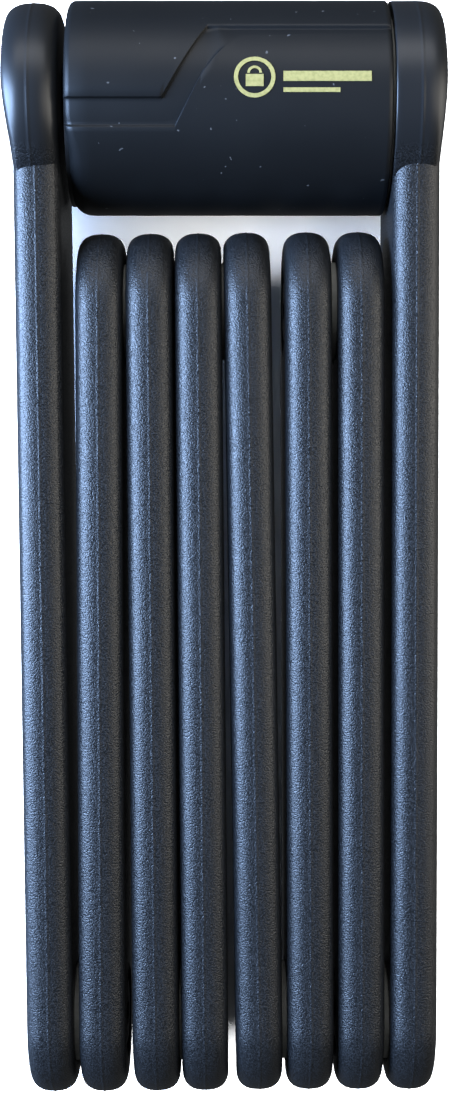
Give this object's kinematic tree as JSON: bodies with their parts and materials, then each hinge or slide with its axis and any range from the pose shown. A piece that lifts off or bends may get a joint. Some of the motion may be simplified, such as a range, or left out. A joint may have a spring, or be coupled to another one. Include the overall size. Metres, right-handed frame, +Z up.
{
  "type": "folding bike lock",
  "caption": "Folding lock of riveted steel links in plastic sleeves, folded flat beside a barrel-shaped key lock body.",
  "frame": {"origin": "middle of the footprint of the folded lock, on the surface it lies on", "axes": "+Y along the links towards the lock body, +X across the stack of links from link 1 to link 8, +Z up"},
  "size_m": [0.0713, 0.1817, 0.0348],
  "materials": {
    "link_sleeve": "black moulded sleeve with a fine satin grain",
    "body_cover": "black soft-touch cover, smoother than the sleeves",
    "hardened_plate": "hardened flat steel",
    "case_steel": "machined hardened steel",
    "rivet_steel": "blackened steel",
    "screw_steel": "blackened steel",
    "plated_steel": "satin nickel-plated steel",
    "lock_brass": "turned brass",
    "slide_plastic": "natural acetal",
    "seal_rubber": "black nitrile rubber"
  },
  "bodies": {
    "lock_body": {"body_cover": "body_cover", "lock_case": "case_steel", "end_plate": "plated_steel", "end_screw_1": "screw_steel", "end_screw_2": "screw_steel", "end_screw_3": "screw_steel", "bolt_seal": "seal_rubber", "cylinder_housing": "lock_brass", "housing_pin": "screw_steel", "swivel_washer": "slide_plastic", "retaining_clip": "rivet_steel", "dust_cover_pin": "plated_steel"},
    "link_8": {"link_8_plate": "hardened_plate", "link_8_sleeve": "link_sleeve", "rivet_7": "rivet_steel", "washer_7": "slide_plastic"},
    "link_7": {"link_7_plate": "hardened_plate", "link_7_sleeve": "link_sleeve", "rivet_6": "rivet_steel", "washer_6": "slide_plastic"},
    "link_6": {"link_6_plate": "hardened_plate", "link_6_sleeve": "link_sleeve", "rivet_5": "rivet_steel", "washer_5": "slide_plastic"},
    "link_5": {"link_5_plate": "hardened_plate", "link_5_sleeve": "link_sleeve", "rivet_4": "rivet_steel", "washer_4": "slide_plastic"},
    "link_4": {"link_4_plate": "hardened_plate", "link_4_sleeve": "link_sleeve", "rivet_3": "rivet_steel", "washer_3": "slide_plastic"},
    "link_3": {"link_3_plate": "hardened_plate", "link_3_sleeve": "link_sleeve", "rivet_2": "rivet_steel", "washer_2": "slide_plastic"},
    "link_2": {"link_2_plate": "hardened_plate", "link_2_sleeve": "link_sleeve", "rivet_1": "rivet_steel", "washer_1": "slide_plastic"},
    "link_1": {"link_1_plate": "hardened_plate", "link_1_sleeve": "link_sleeve"},
    "key_plug": {"key_plug": "lock_brass", "detainer_disc_1": "lock_brass", "detainer_disc_2": "lock_brass", "detainer_disc_3": "lock_brass", "detainer_disc_4": "lock_brass", "detainer_disc_5": "lock_brass", "detainer_disc_6": "lock_brass", "side_bar": "screw_steel", "cam_drum": "case_steel"},
    "locking_bolt": {"locking_bolt": "plated_steel", "bolt_cross_pin": "screw_steel"},
    "dust_cover": {"dust_cover": "plated_steel"}
  },
  "joints": [
    {"name": "link_8_swivel", "type": "hinge", "parent": "lock_body", "child": "link_8", "pos_m": [0.031, 0.07345, 0.0174], "axis": [-1, 0, 0], "range_deg": [-180, 180]},
    {"name": "pivot_7", "type": "hinge", "parent": "link_8", "child": "link_7", "pos_m": [0.031, -0.07749, 0.013], "axis": [-1, 0, 0], "range_deg": [-160.22, 160.22]},
    {"name": "pivot_6", "type": "hinge", "parent": "link_7", "child": "link_6", "pos_m": [0.02223, 0.04006, 0.01643], "axis": [-1, -0.0023, -0.0001], "range_deg": [-114, 114]},
    {"name": "pivot_5", "type": "hinge", "parent": "link_6", "child": "link_5", "pos_m": [0.01425, -0.0775, 0.013], "axis": [-1, -0.0044, -0.0001], "range_deg": [-160.22, 160.22]},
    {"name": "pivot_4", "type": "hinge", "parent": "link_5", "child": "link_4", "pos_m": [0.00394, 0.03999, 0.01642], "axis": [-0.9999, -0.0162, -0.0005], "range_deg": [-114, 114]},
    {"name": "pivot_3", "type": "hinge", "parent": "link_4", "child": "link_3", "pos_m": [-0.00301, -0.07768, 0.01299], "axis": [-1, -0.0089, -0.0003], "range_deg": [-160.22, 160.22]},
    {"name": "pivot_2", "type": "hinge", "parent": "link_3", "child": "link_2", "pos_m": [-0.01198, 0.03979, 0.01642], "axis": [-1, -0.0082, -0.0002], "range_deg": [-114, 114]},
    {"name": "pivot_1", "type": "hinge", "parent": "link_2", "child": "link_1", "pos_m": [-0.01973, -0.07782, 0.01299], "axis": [-1, -0.003, -0.0001], "range_deg": [-160.22, 160.22]},
    {"name": "key_turn", "type": "hinge", "parent": "lock_body", "child": "key_plug", "pos_m": [0.0198, 0.07345, 0.0174], "axis": [1, 0, 0], "range_deg": [0, 90]},
    {"name": "bolt_slide", "type": "slide", "parent": "lock_body", "child": "locking_bolt", "axis": [-1, 0, 0], "range_m": [0, 0.0075]},
    {"name": "dust_cover_swing", "type": "hinge", "parent": "lock_body", "child": "dust_cover", "pos_m": [0.0351, 0.07323, 0.0248], "axis": [1, 0, 0], "range_deg": [0, 80]}
  ],
  "couplings": [
    {"joint": "bolt_slide", "follows": "key_turn", "m_per_rad": 0.0047746}
  ]
}
